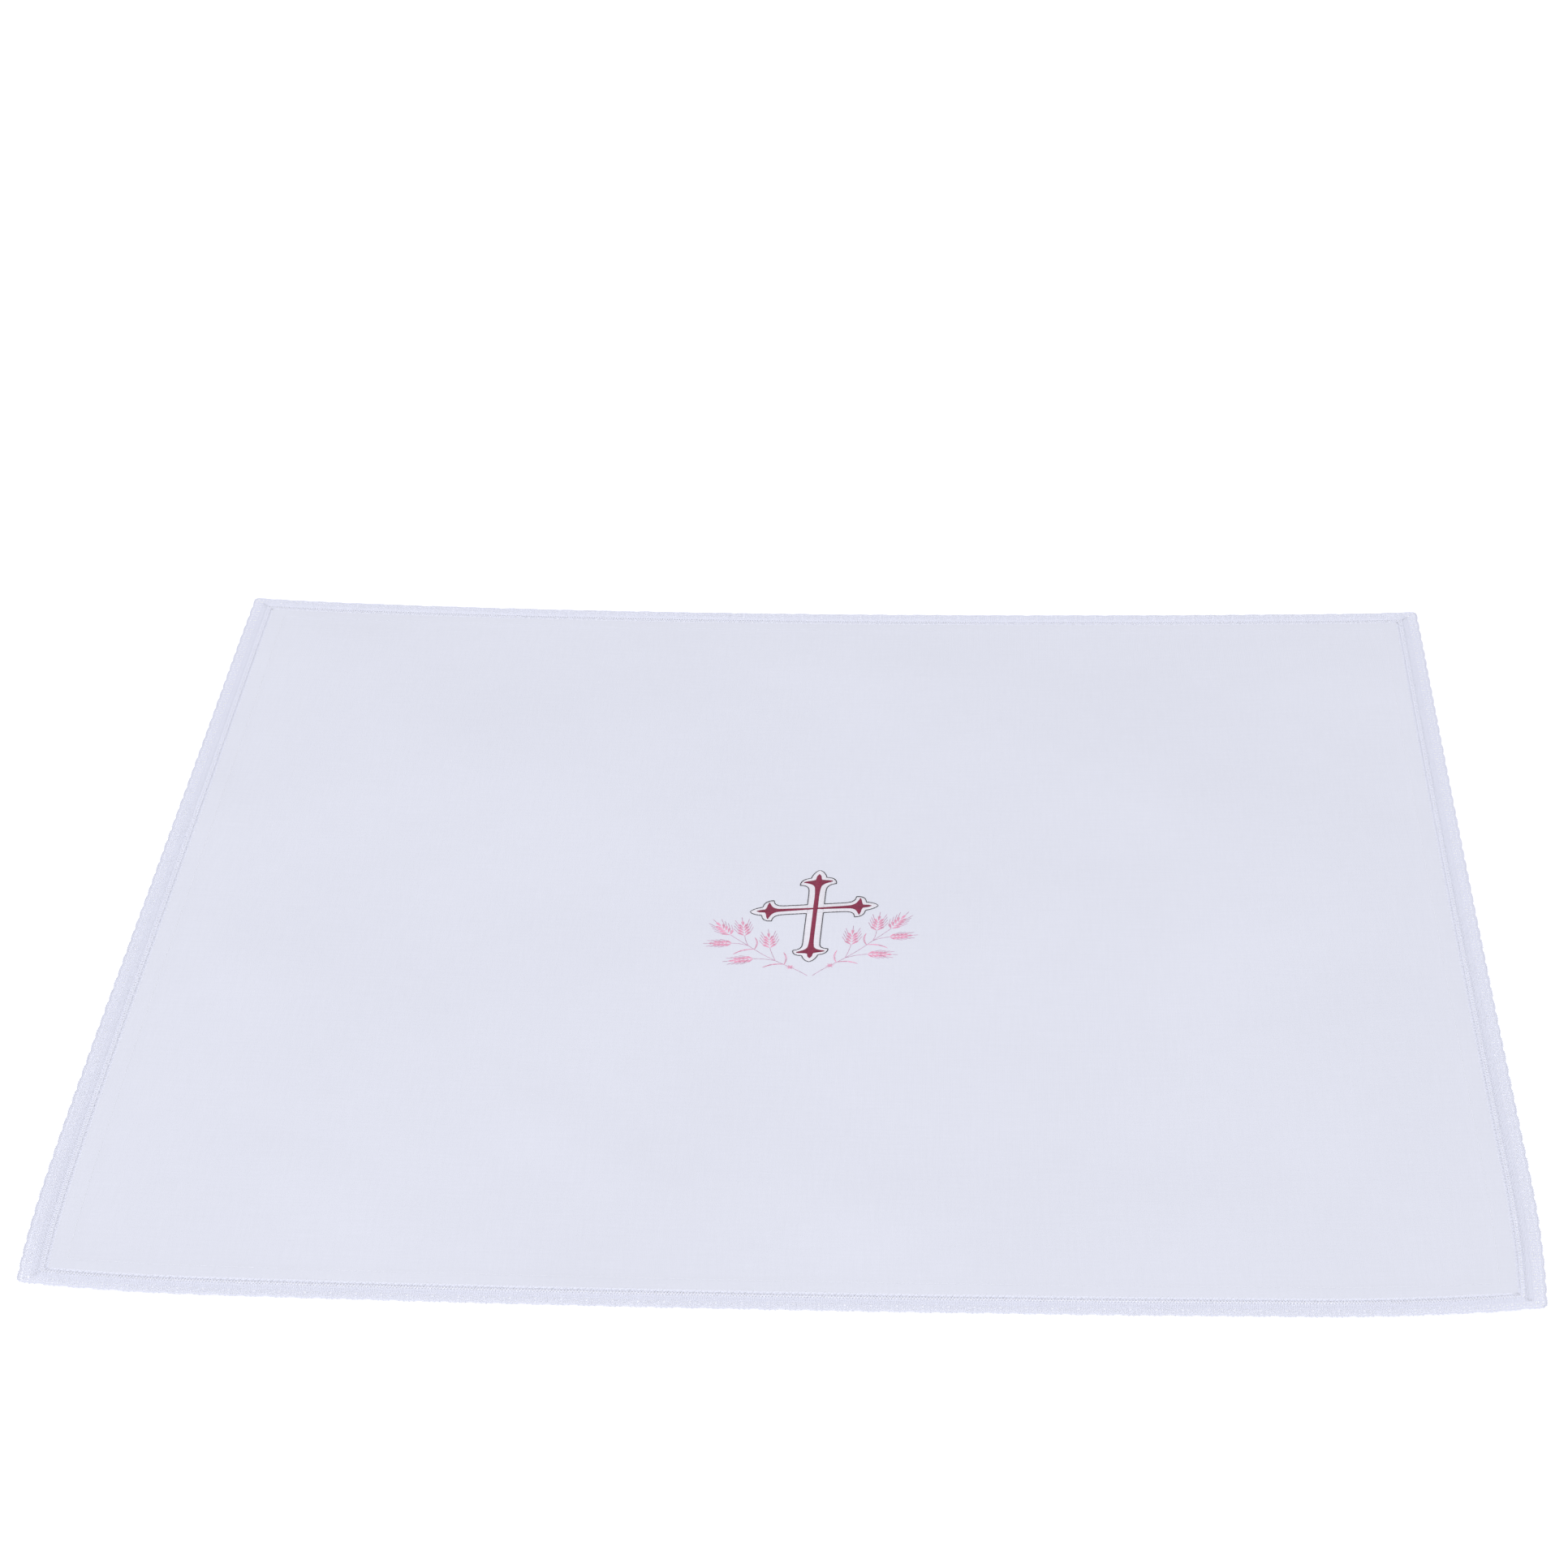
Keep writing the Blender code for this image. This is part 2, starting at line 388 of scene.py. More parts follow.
class ALTARCLOTH_OT_linen(bpy.types.Operator):
    """Make the linen square with its turned hem"""

    bl_idname = "altar_cloth.linen"
    bl_label = "Linen"

    def execute(self, context):
        linen = context.scene.altar_linen
        lines = linen_lines()
        count = len(lines) - 1
        grid = bmesh.new()
        bmesh.ops.create_grid(grid, x_segments=count, y_segments=count, size=1)
        flat_place = grid.loops.layers.uv.new("flat")
        for point in grid.verts:
            column, row = (round((part + 1) / 2 * count) for part in point.co.xy)
            point.co = (lines[column], lines[row], 0)
        for face in grid.faces:
            for loop in face.loops:
                loop[flat_place].uv = loop.vert.co.xy
        mesh = bpy.data.meshes.new("linen")
        grid.to_mesh(mesh)
        grid.free()
        distances, shares = zip(*HEM_PROFILE)
        hem_shares = [
            float(np.interp(PANEL_HALF - max(abs(point.co.x), abs(point.co.y)), distances, shares))
            for point in mesh.vertices
        ]
        move_points(mesh, lay)
        mesh.materials.append(plain_weave_linen(linen))
        sheet = show("linen", mesh, "linen_panel")
        hem = sheet.vertex_groups.new(name="hem")
        for index, share in enumerate(hem_shares):
            if share > 0:
                hem.add([index], share, "REPLACE")
        body = sheet.modifiers.new("body", "SOLIDIFY")
        body.thickness = linen.hem_thickness
        body.offset = 1
        body.vertex_group = hem.name
        body.thickness_vertex_group = linen.thickness / linen.hem_thickness
        return {"FINISHED"}


# Lace

LACE_PITCH = CLOTH_SIDE / SCALLOPS_A_SIDE
# Height of the lace's middle over the table
LACE_HEIGHT = 0.3 * MM
# The ironed lace's relief, as a share of that of round threads
LACE_PRESSED = 0.6

# The heading's straight cords: how far out from the lace's inner edge they run, and how far up from its
# middle. The inner ones lie over the hem's edge like a tape.
Cord = namedtuple("Cord", "out up")
HEADING_CORDS = (
    Cord(out=-0.5 * MM, up=0.2 * MM),
    Cord(out=-0.25 * MM, up=0.15 * MM),
    Cord(out=0.0 * MM, up=0.1 * MM),
    Cord(out=0.25 * MM, up=0.05 * MM),
    Cord(out=2.5 * MM, up=0),
    Cord(out=2.9 * MM, up=0),
)
# The heading's two waving cords: where they run, and how they rise and fall over each other, in half threads
HEADING_MIDDLE = 1.42 * MM
HEADING_SWING = 0.92 * MM
HEADING_UP = 0.8
HEADING_RISE = 0.6
BAND_INSIDE = 3.25 * MM
NET_INSIDE = 4.8 * MM
RIM_AT_CUSP = 8.6 * MM
RIM_RISE = 0.35 * MM

# In each repeat: the heading's waves, and the threads across the band and the net
HEADING_WAVES = 4
STEPS_A_WAVE = 8
CROSS_THREADS = 14
# The threads along the plain band, and those along the net as shares of its width
BAND_OUTS = np.linspace(BAND_INSIDE, NET_INSIDE, 4, endpoint=False)
NET_SHARES = np.linspace(0, 1, 8, endpoint=False)
# From one of the rim's two cords to the other, in half cords
RIM_CORDS_APART = 1.7
# How far a thread across goes over and under those along the lace, in half threads
WEAVE_RISE = 0.7
THREAD_SIDES = 3
# Turned this way, one corner of a thread's three-sided profile points up
PROFILE_TURN = -math.pi / 2

# The net's round holes: place along, as a share of the repeat, place across and radius, in millimetres
Hole = namedtuple("Hole", "share out radius")
HOLES = (
    Hole(share=0.5, out=5.8, radius=0.66),
    Hole(share=0.0, out=5.5, radius=0.48),
    Hole(share=0.5, out=7.7, radius=0.48),
    Hole(share=0.14, out=6.7, radius=0.40),
    Hole(share=0.86, out=6.7, radius=0.40),
    Hole(share=0.28, out=6.2, radius=0.40),
    Hole(share=0.72, out=6.2, radius=0.40),
    Hole(share=0.26, out=7.7, radius=0.42),
    Hole(share=0.74, out=7.7, radius=0.42),
    Hole(share=0.0, out=7.5, radius=0.42),
)
HOLE_REACH = 4 * MM
# The picots: where they stand in each repeat, how far out in half loops, and their thread
PICOT_SHARES = (0.2, 0.4, 0.6, 0.8)
PICOT_OUT = 0.9
PICOT_STEPS = 6
PICOT_THREAD = 0.8
# How far short of the corner's diagonal each length of lace ends
MITRE_GAP = 0.1 * MM

Route = namedtuple("Route", "points radius closed")


def rim_out(along):
    """How far out the rim of the scallops runs."""
    return RIM_AT_CUSP + RIM_RISE * np.abs(np.sin(math.pi * along / LACE_PITCH))


def open_holes(points):
    """Pushes threads apart round the net's holes; past HOLE_REACH they run as before."""
    moved = points.copy()
    for hole in HOLES:
        for repeat in (-1, 0, 1):
            apart = points[:, :2] - np.array((hole.out * MM, (hole.share + repeat) * LACE_PITCH))
            away = np.maximum(np.hypot(*apart.T), SAME_PLACE)
            fade = np.clip(1 - away / HOLE_REACH, 0, 1)
            wider = np.sqrt(away**2 + (hole.radius * MM * fade) ** 2)
            moved[:, :2] += apart * (wider / away - 1)[:, None]
    return moved


def long_route(out, along, up, radius):
    """A thread all along a side: its places out and up at each place along one repeat, again and again."""
    one = np.column_stack(np.broadcast_arrays(out, along, up))
    points = np.vstack([one + (0, repeat * LACE_PITCH, 0) for repeat in range(SCALLOPS_A_SIDE)])
    return Route(np.vstack((points, one[:1] + (0, CLOTH_SIDE, 0))), radius, False)


def threads_along(lace):
    """The lace's threads that run along it."""
    cord, thread = lace.cord / 2, lace.thread / 2
    halves = np.array((0, 0.5)) * LACE_PITCH
    routes = [long_route(line.out, halves, LACE_HEIGHT + line.up, cord) for line in HEADING_CORDS]
    along = np.arange(HEADING_WAVES * STEPS_A_WAVE) / (HEADING_WAVES * STEPS_A_WAVE) * LACE_PITCH
    turn = 2 * math.pi * HEADING_WAVES * along / LACE_PITCH
    for side in (-1, 1):
        # Each wave lies over the other at every second crossing
        rise = side * HEADING_RISE * np.cos(turn / 2 + math.pi / 4)
        up = LACE_HEIGHT + thread * (HEADING_UP + rise)
        out = HEADING_MIDDLE + side * HEADING_SWING * np.cos(turn)
        routes.append(long_route(out, along, up, lace.heading / 2))
    routes += [long_route(out, halves, LACE_HEIGHT, thread) for out in BAND_OUTS]
    along = (np.arange(CROSS_THREADS) + 0.5) / CROSS_THREADS * LACE_PITCH
    for share in NET_SHARES:
        out = NET_INSIDE + share * (rim_out(along) - NET_INSIDE)
        line = open_holes(np.column_stack((out, along, np.full_like(along, LACE_HEIGHT))))
        routes.append(long_route(*line.T, thread))
    along = np.arange(CROSS_THREADS) / CROSS_THREADS * LACE_PITCH
    for inset in (0, cord * RIM_CORDS_APART):
        routes.append(long_route(rim_out(along) - inset, along, LACE_HEIGHT + thread / 2, cord))
    return routes


def picot_route(along, half, radius):
    """A small loop on the rim."""
    turn = np.linspace(0, 2 * math.pi, PICOT_STEPS, endpoint=False)
    out = rim_out(along) + half * PICOT_OUT + half * np.cos(turn)
    height = np.full(PICOT_STEPS, LACE_HEIGHT)
    return Route(np.column_stack((out, along + half * np.sin(turn), height)), radius, True)


def threads_across(lace):
    """One repeat of the threads across the lace, over and under those along it, and of its picots."""
    thread = lace.thread / 2
    routes = []
    for index in range(CROSS_THREADS):
        at = (index + 0.5) / CROSS_THREADS * LACE_PITCH
        rim = rim_out(at)
        # From the heading's last cord but one, over the band and the net, to the rim
        net_outs = NET_INSIDE + NET_SHARES * (rim - NET_INSIDE)
        outs = np.array([HEADING_CORDS[-2].out, *BAND_OUTS, *net_outs, rim])
        side = 1 - 2 * ((np.arange(len(outs)) + index) % 2)
        line = np.column_stack((outs, np.full(len(outs), at), LACE_HEIGHT + side * thread * WEAVE_RISE))
        routes.append(Route(open_holes(line), thread, False))
    for share in PICOT_SHARES:
        routes.append(picot_route(share * LACE_PITCH, lace.picot / 2, thread * PICOT_THREAD))
    return routes


def routes_curve(name, routes):
    """A curve with one straight-pointed spline for each route."""
    curve = bpy.data.curves.new(name, "CURVE")
    curve.dimensions = "3D"
    for route in routes:
        spline = curve.splines.new("POLY")
        spline.points.add(len(route.points) - 1)
        spline.use_cyclic_u = route.closed
        for point, place in zip(spline.points, route.points):
            point.co = (*place, 1)
            point.radius = route.radius
    return curve


def thread_lace_tree():
    """Geometry nodes: tubes for the threads along the lace, and for those across it, repeated along +Y."""
    tree, given, made = new_geometry_tree(
        "thread_lace",
        (
            ("Repeat", "NodeSocketObject"),
            ("Repeats", "NodeSocketInt"),
            ("Pitch", "NodeSocketFloat"),
            ("Sides", "NodeSocketInt"),
            ("Material", "NodeSocketMaterial"),
        ),
    )
    profile = add(
        tree, "GeometryNodeCurvePrimitiveCircle", {"Resolution": given.outputs["Sides"], "Radius": 1.0}
    )
    turned_profile = {"Geometry": profile.outputs["Curve"], "Rotation": (0, 0, PROFILE_TURN)}
    upright_profile = add(tree, "GeometryNodeTransform", turned_profile)
    across = add(tree, "GeometryNodeObjectInfo", {"Object": given.outputs["Repeat"]})
    radius = add(tree, "GeometryNodeInputRadius")
    tubes = []
    for routes in (given.outputs["Geometry"], across.outputs["Geometry"]):
        upright = add(tree, "GeometryNodeSetCurveNormal", {"Curve": routes}, mode="Z_UP")
        tube = add(
            tree,
            "GeometryNodeCurveToMesh",
            {
                "Curve": upright.outputs["Curve"],
                "Profile Curve": upright_profile.outputs["Geometry"],
                "Scale": radius.outputs["Radius"],
                "Fill Caps": True,
            },
        )
        tubes.append(tube.outputs["Mesh"])
    step = add(tree, "ShaderNodeCombineXYZ", {"Y": given.outputs["Pitch"]})
    line = {"Count": given.outputs["Repeats"], "Offset": step.outputs["Vector"]}
    places = add(tree, "GeometryNodeMeshLine", line)
    copies = add(
        tree, "GeometryNodeInstanceOnPoints", {"Points": places.outputs["Mesh"], "Instance": tubes[1]}
    )
    joined = add(tree, "GeometryNodeJoinGeometry", {"Geometry": tubes[0]})
    tree.links.new(copies.outputs["Instances"], joined.inputs["Geometry"])
    finish_geometry(tree, joined.outputs["Geometry"], given.outputs["Material"], made)
    return tree


THREAD_RELIEF = 0.05 * MM
COTTON_DARKEST = 0.92


def cotton_thread(name, colour, roughness, sheen):
    """Cotton thread, spun and matt: soft, with a fuzzy edge to the light and a fine uneven twist."""
    material, tree, shader = new_material(name)
    place = add(tree, "ShaderNodeTexCoord").outputs["Object"]
    # Fibres of about 0.2 mm, near the finest that the render shows
    fibres = add(tree, "ShaderNodeTexNoise", {"Vector": place, "Scale": 5000, "Detail": 2}).outputs["Fac"]
    tones = (tuple(part * COTTON_DARKEST for part in colour), colour)
    relief = {"Height": fibres, "Strength": 0.3, "Distance": THREAD_RELIEF}
    finish = {
        "Roughness": roughness,
        "Specular IOR Level": 0.3,
        "Sheen Weight": sheen,
        "Sheen Roughness": 0.4,
    }
    finish_surface(tree, shader, fibres, tones, relief, finish)
    return material


def squeeze_corner(points):
    """Draws the ends of a length of lace in to the round corner."""
    out, along, up = points.T
    # Just short of the whole radius, where the arc would be upright
    into_corner = np.clip(np.abs(along) - (HALF_SIDE - CORNER_RADIUS), 0, CORNER_RADIUS * 0.999)
    inset = CORNER_RADIUS - np.sqrt(CORNER_RADIUS**2 - into_corner**2)
    share = (out - LACE_INSIDE) / LACE_WIDTH
    return np.column_stack((out - share * np.minimum(inset, LACE_WIDTH / 2), along, up))


def mitre(mesh):
    """Cuts both ends of a length of lace along the corner's diagonal and closes the cut threads."""
    cut = bmesh.new()
    cut.from_mesh(mesh)
    for end in (-1, 1):
        bmesh.ops.bisect_plane(
            cut,
            geom=cut.verts[:] + cut.edges[:] + cut.faces[:],
            plane_co=(MITRE_GAP, 0, 0),
            plane_no=(-1, end, 0),
            clear_outer=True,
        )
    bmesh.ops.holes_fill(cut, edges=[edge for edge in cut.edges if edge.is_boundary])
    cut.to_mesh(mesh)
    cut.free()


def turned(points, turn_deg):
    """The points turned about the cloth's middle."""
    turn = math.radians(turn_deg)
    x, y, z = points.T
    return np.column_stack(
        (x * math.cos(turn) - y * math.sin(turn), x * math.sin(turn) + y * math.cos(turn), z)
    )


# Which way each length of lace faces
LACE_TURNS = {"lace_front": -90, "lace_right": 0, "lace_back": 90, "lace_left": 180}


class ALTARCLOTH_OT_lace(bpy.types.Operator):
    """Make the four lengths of lace edging"""

    bl_idname = "altar_cloth.lace"
    bl_label = "Lace"

    def execute(self, context):
        lace = context.scene.altar_lace
        cotton = cotton_thread("cotton_lace_thread", tuple(lace.colour), roughness=0.75, sheen=0.25)
        across = bpy.data.objects.new("across", routes_curve("across", threads_across(lace)))
        values = {
            "Repeat": across,
            "Repeats": SCALLOPS_A_SIDE,
            "Pitch": LACE_PITCH,
            "Sides": THREAD_SIDES,
            "Material": cotton,
        }
        length = grow(thread_lace_tree(), routes_curve("along", threads_along(lace)), values)
        bpy.data.objects.remove(across)
        # Pressed flat about its middle, and put beside the linen
        middle, pressed = np.array((0, 0, LACE_HEIGHT)), np.array((1, 1, LACE_PRESSED))
        place = np.array((LACE_INSIDE, -HALF_SIDE, LACE_HEIGHT))
        move_points(length, lambda points: (points - middle) * pressed + place)
        move_points(length, squeeze_corner)
        mitre(length)
        for node, turn_deg in LACE_TURNS.items():
            mesh = length.copy()
            move_points(mesh, lambda points: lay(turned(points, turn_deg)))
            show("thread_" + node, mesh, node)
        bpy.data.meshes.remove(length)
        return {"FINISHED"}


# Stitches

# A stitch is a straight run of thread between two places (x, y) of the flat cloth
Stitch = namedtuple("Stitch", "start end")
# Thread as it lies: a loosely twisted one is wider than it is high
Thread = namedtuple("Thread", "width height material slot")
# A line that turns by more than this has a corner, where one stitch ends and the next starts
CORNER_DEG = 35
# How far a stitch's middle stands up and its ends go down, and how far its ends are drawn in, as shares of
# its thickness
STITCH_RISE = 0.42
STITCH_SINK = 0.12
STITCH_TAPER = 0.75


def one_stitch(sides, steps):
    """A stitch of thread 1 long and 1 thick, along X, whose round ends go down into the cloth."""
    mesh = bpy.data.meshes.new("one_stitch")
    thread = bmesh.new()
    along_x = Matrix.Rotation(math.pi / 2, 4, "Y")
    bmesh.ops.create_cone(
        thread, cap_ends=True, segments=sides, radius1=0.5, radius2=0.5, depth=1, matrix=along_x
    )
    long_edges = [edge for edge in thread.edges if abs(edge.verts[0].co.x - edge.verts[1].co.x) > 0.5]
    bmesh.ops.subdivide_edges(thread, edges=long_edges, cuts=steps - 1)
    for point in thread.verts:
        # Its rings stand closer towards the round ends
        point.co.x = math.sin(math.pi * point.co.x) / 2
        away = min(1, abs(2 * point.co.x))
        round_end = math.sqrt(1 - STITCH_TAPER * away**6)
        point.co.y *= round_end
        point.co.z = point.co.z * round_end + STITCH_RISE * (1 - away**4) - STITCH_SINK
    thread.to_mesh(mesh)
    thread.free()
    return bpy.data.objects.new("one_stitch", mesh)


def stitches_tree():
    """Geometry nodes: a thread on each point, turned and stretched as the point's attributes say."""
    tree, given, made = new_geometry_tree(
        "stitches",
        (
            ("Stitch", "NodeSocketObject"),
            ("Width", "NodeSocketFloat"),
            ("Height", "NodeSocketFloat"),
            ("Seed", "NodeSocketInt"),
            ("Material", "NodeSocketMaterial"),
        ),
    )
    thread = add(tree, "GeometryNodeObjectInfo", {"Object": given.outputs["Stitch"]})
    turn, reach = (
        add(tree, "GeometryNodeInputNamedAttribute", {"Name": name}, data_type="FLOAT").outputs["Attribute"]
        for name in ("turn", "reach")
    )
    rotation = add(tree, "ShaderNodeCombineXYZ", {"Z": turn})
    size = {"X": reach, "Y": given.outputs["Width"], "Z": given.outputs["Height"]}
    scale = add(tree, "ShaderNodeCombineXYZ", size)
    threads = add(
        tree,
        "GeometryNodeInstanceOnPoints",
        {
            "Points": given.outputs["Geometry"],
            "Instance": thread.outputs["Geometry"],
            "Rotation": rotation.outputs["Vector"],
            "Scale": scale.outputs["Vector"],
        },
    )
    # A random value for each stitch, which the silky threads turn into painted sheen and shade, each stitch
    # lighter or darker
    chance = add(tree, "FunctionNodeRandomValue", {"Seed": given.outputs["Seed"]}, data_type="FLOAT")
    shaded = add(
        tree,
        "GeometryNodeStoreNamedAttribute",
        {"Geometry": threads.outputs["Instances"], "Name": "shade", "Value": chance.outputs[1]},
        domain="INSTANCE",
        data_type="FLOAT",
    )
    finish_geometry(tree, shaded.outputs["Geometry"], given.outputs["Material"], made)
    return tree


def stitch_marks(stitches, height):
    """A mesh with a point at each stitch's middle, which keeps its turn and reach."""
    starts = np.array([stitch.start for stitch in stitches])
    ends = np.array([stitch.end for stitch in stitches])
    middles = (starts + ends) / 2
    run = ends - starts
    marks = bpy.data.meshes.new("marks")
    marks.from_pydata(np.column_stack((middles, np.full(len(middles), height))).tolist(), [], [])
    facts = {"turn": np.arctan2(run[:, 1], run[:, 0]), "reach": np.hypot(run[:, 0], run[:, 1])}
    for name, numbers in facts.items():
        marks.attributes.new(name, "FLOAT", "POINT").data.foreach_set("value", numbers)
    return marks


def sew(name, stitches, ground, thread, sides=5, steps=6, seed=1):
    """Makes a piece of these stitches, laid with the cloth; ground is the height of what they lie on."""
    stitch = one_stitch(sides, steps)
    values = {
        "Stitch": stitch,
        "Width": thread.width,
        "Height": thread.height,
        "Seed": seed,
        "Material": thread.material,
    }
    mesh = grow(stitches_tree(), stitch_marks(stitches, ground), values)
    bpy.data.objects.remove(stitch)
    move_points(mesh, lay)
    return show(name, mesh)


def along_path(points, pitch, closed, gap):
    """Stitches of about this pitch along a line, from corner to corner, each a little short by gap."""
    line = np.vstack((points, points[:1])) if closed else np.asarray(points)
    apart = np.hypot(*np.diff(line, axis=0).T) > SAME_PLACE
    line = line[np.append(True, apart)]
    runs = np.diff(line, axis=0)
    travelled = np.concatenate(([0], np.cumsum(np.hypot(*runs.T))))
    ways = np.unwrap(np.arctan2(runs[:, 1], runs[:, 0]))
    corners = np.flatnonzero(np.abs(np.diff(ways)) > math.radians(CORNER_DEG)) + 1
    stops = [0, *travelled[corners], travelled[-1]]
    stitches = []
    for start, end in zip(stops, stops[1:]):
        marks = np.linspace(start, end, max(1, round((end - start) / pitch)) + 1)
        places = np.column_stack([np.interp(marks, travelled, line[:, axis]) for axis in (0, 1)])
        for first, last in zip(places, places[1:]):
            short = (last - first) * gap / 2
            stitches.append(Stitch(first + short, last - short))
    return stitches


def silky_thread(name, colour, depth=0.82, lightness=1.12, sheen=0.2):
    """Rayon embroidery thread, twisted and silky: soft long highlights, and each stitch lighter or darker at
    random, a painted sheen and shade for how each stitch catches the light.
    """
    material, tree, shader = new_material(name)
    # The stitch's random shade lightens or darkens its colour: painted sheen and shade, not a dye of its own
    shade = add(tree, "ShaderNodeAttribute", attribute_name="shade")
    place = add(tree, "ShaderNodeTexCoord").outputs["Object"]
    # The two plies' twist of about 0.25 mm
    twist = add(tree, "ShaderNodeTexNoise", {"Vector": place, "Scale": 4000, "Detail": 1})
    tones = [tuple(min(1, part * share) for part in colour) for share in (depth, lightness)]
    relief = {"Height": twist.outputs["Fac"], "Strength": 0.2, "Distance": THREAD_RELIEF}
    finish = {
        "Roughness": 0.42,
        "Specular IOR Level": 0.35,
        "Sheen Weight": sheen,
        "Sheen Roughness": 0.4,
    }
    finish_surface(tree, shader, shade.outputs["Fac"], tones, relief, finish)
    return material


# Sewing

# The zigzag's stitches in each repeat of the lace, and how far they reach on either side of its inner edge
SEAM_STITCHES_A_REPEAT = 8
SEAM_ON_HEM = 1.1 * MM
SEAM_ON_LACE = 0.6 * MM
# From the hem's inner edge to its stitches, and the gap between two, as a share of their length
HEM_SEAM_INSET = 0.9 * MM
HEM_STITCH_GAP = 0.18
# The stitches across a mitre: the first one's place from the lace's inner edge, and their pitch and length
MITRE_STITCHES = 7
MITRE_START = 0.8 * MM
MITRE_STITCH = 0.9 * MM
MITRE_GROUND = 0.4 * MM
# Sewing thread is pulled tight and pressed: its height as a share of its width
SEWN_FLATNESS = 0.4


def lace_seam():
    """The zigzag that holds the lace to the hem, all round."""
    step = LACE_PITCH / SEAM_STITCHES_A_REPEAT
    count = int(LACE_INSIDE / step)
    places = []
    for index in range(-count, count + 1):
        out = LACE_INSIDE + (SEAM_ON_LACE if index % 2 else -SEAM_ON_HEM)
        # The last ones stop at the mitre
        if abs(index * step) < out:
            places.append((out, index * step, 0))
    stitches = []
    for turn_deg in LACE_TURNS.values():
        line = turned(np.array(places), turn_deg)[:, :2]
        stitches += [Stitch(start, end) for start, end in zip(line, line[1:])]
    return stitches


def hem_seam(pitch):
    """The straight stitches that hold the turned hem, all round."""
    half = PANEL_HALF - HEM_WIDTH + HEM_SEAM_INSET
    corners = np.array([(-half, -half), (half, -half), (half, half), (-half, half)])
    stitches = []
    for start, end in zip(corners, np.roll(corners, -1, axis=0)):
        stitches += along_path([start, end], pitch, False, HEM_STITCH_GAP)
    return stitches


def mitre_seam():
    """Short stitches across the lace's mitres."""
    stitches = []
    for turn_deg in LACE_TURNS.values():
        for place in LACE_INSIDE + MITRE_START + np.arange(MITRE_STITCHES) * MITRE_STITCH:
            near, far = place - MITRE_STITCH / 2, place + MITRE_STITCH / 2
            start, end = turned(np.array([(far, near, 0), (near, far, 0)]), turn_deg)[:, :2]
            stitches.append(Stitch(start, end))
    return stitches


class ALTARCLOTH_OT_sewing(bpy.types.Operator):
    """Sew the hem, the lace and its mitres"""

    bl_idname = "altar_cloth.sewing"
    bl_label = "Sewing"

    def execute(self, context):
        sewing, linen = context.scene.altar_sewing, context.scene.altar_linen
        cotton = cotton_thread("cotton_sewing_thread", tuple(sewing.colour), roughness=0.65, sheen=0.15)
        thread = Thread(sewing.thread, sewing.thread * SEWN_FLATNESS, cotton, "white_thread")
        fine = Thread(sewing.hem_thread, sewing.hem_thread * SEWN_FLATNESS, cotton, "white_thread")
        sew("lace_seam", lace_seam(), linen.hem_thickness, thread, sides=4, steps=4)
        sew("hem_seam", hem_seam(sewing.hem_stitch), linen.hem_thickness, fine, sides=4, steps=4)
        sew("mitre_seam", mitre_seam(), MITRE_GROUND, thread, sides=4, steps=4)
        return {"FINISHED"}


# Embroidery

# The motif has its own flat axes in millimetres from the crossing: P along the cross's arms, Q up its
# stem. On the cloth the arms and the stem are not quite square.
MOTIF_PLACE = (3.25 * MM, 2.9 * MM)
# Which way the axes run on the cloth, and how far the motif is shifted along P
Axes = namedtuple("Axes", "p_deg q_deg shift")
CROSS_AXES = Axes(p_deg=7.1, q_deg=88.7, shift=0.0)
WHEAT_AXES = Axes(p_deg=6.0, q_deg=91.6, shift=-1.5)


def on_cloth(points, axes=CROSS_AXES):
    """Places on the flat cloth of points (P, Q) of the motif."""
    p_way, q_way = math.radians(axes.p_deg), math.radians(axes.q_deg)
    p, q = (np.asarray(points, float) + (axes.shift, 0)).T * MM
    x = MOTIF_PLACE[0] + p * math.cos(p_way) + q * math.cos(q_way)
    y = MOTIF_PLACE[1] + p * math.sin(p_way) + q * math.sin(q_way)
    return np.column_stack((x, y))


def smooth_line(points, steps=6):
    """A smooth line through the points, both ends included."""
    points = np.asarray(points, float)
    padded = np.vstack((2 * points[0] - points[1], points, 2 * points[-1] - points[-2]))
    line = [points[0]]
    for before, start, end, after in zip(padded, padded[1:], padded[2:], padded[3:]):
        for step in range(1, steps + 1):
            t = step / steps
            bend = (2 * before - 5 * start + 4 * end - after) * t**2
            bend = bend + (3 * start - before - 3 * end + after) * t**3
            line.append((2 * start + (end - before) * t + bend) / 2)
    return np.array(line)


# Half of an arm's end, as (distance from the tip, distance from the middle) in millimetres. Each line is
# smooth and meets the next in a point: the lobe's foot, its back and the spear.
OUTLINE_LINES = (
    ((13.5, 3.2), (11.0, 3.4), (9.6, 4.1), (8.8, 5.3), (8.5, 7.0)),
    ((8.5, 7.0), (7.0, 6.85), (5.6, 6.0), (4.9, 4.7), (4.6, 3.0)),
    ((4.6, 3.0), (3.4, 2.7), (1.8, 1.95), (0.5, 0.95), (0.0, 0.0)),
)
SATIN_LINES = (
    ((16.0, 0.85), (12.5, 1.0), (10.5, 1.2), (8.5, 1.4), (6.5, 1.3), (5.0, 1.05), (3.6, 0.8), (2.5, 0.1)),
)
WING_LINES = (
    ((11.0, 0.9), (9.6, 1.5), (8.6, 2.3), (7.95, 3.4), (7.4, 4.7), (7.0, 5.75)),
    ((6.85, 5.7), (6.35, 4.2), (6.1, 2.8), (5.75, 1.5), (5.3, 0.9)),
)
ARM_HALF_WIDTH = 3.2
# Satin threads lie flat, and the filling's also spread into each other
SATIN_FLATNESS = 0.6
FILLING_SPREAD = 1.3
OUTLINE_FLATNESS = 0.7
# The outline's stitches overlap by this share of their length
OUTLINE_OVERLAP = 0.12
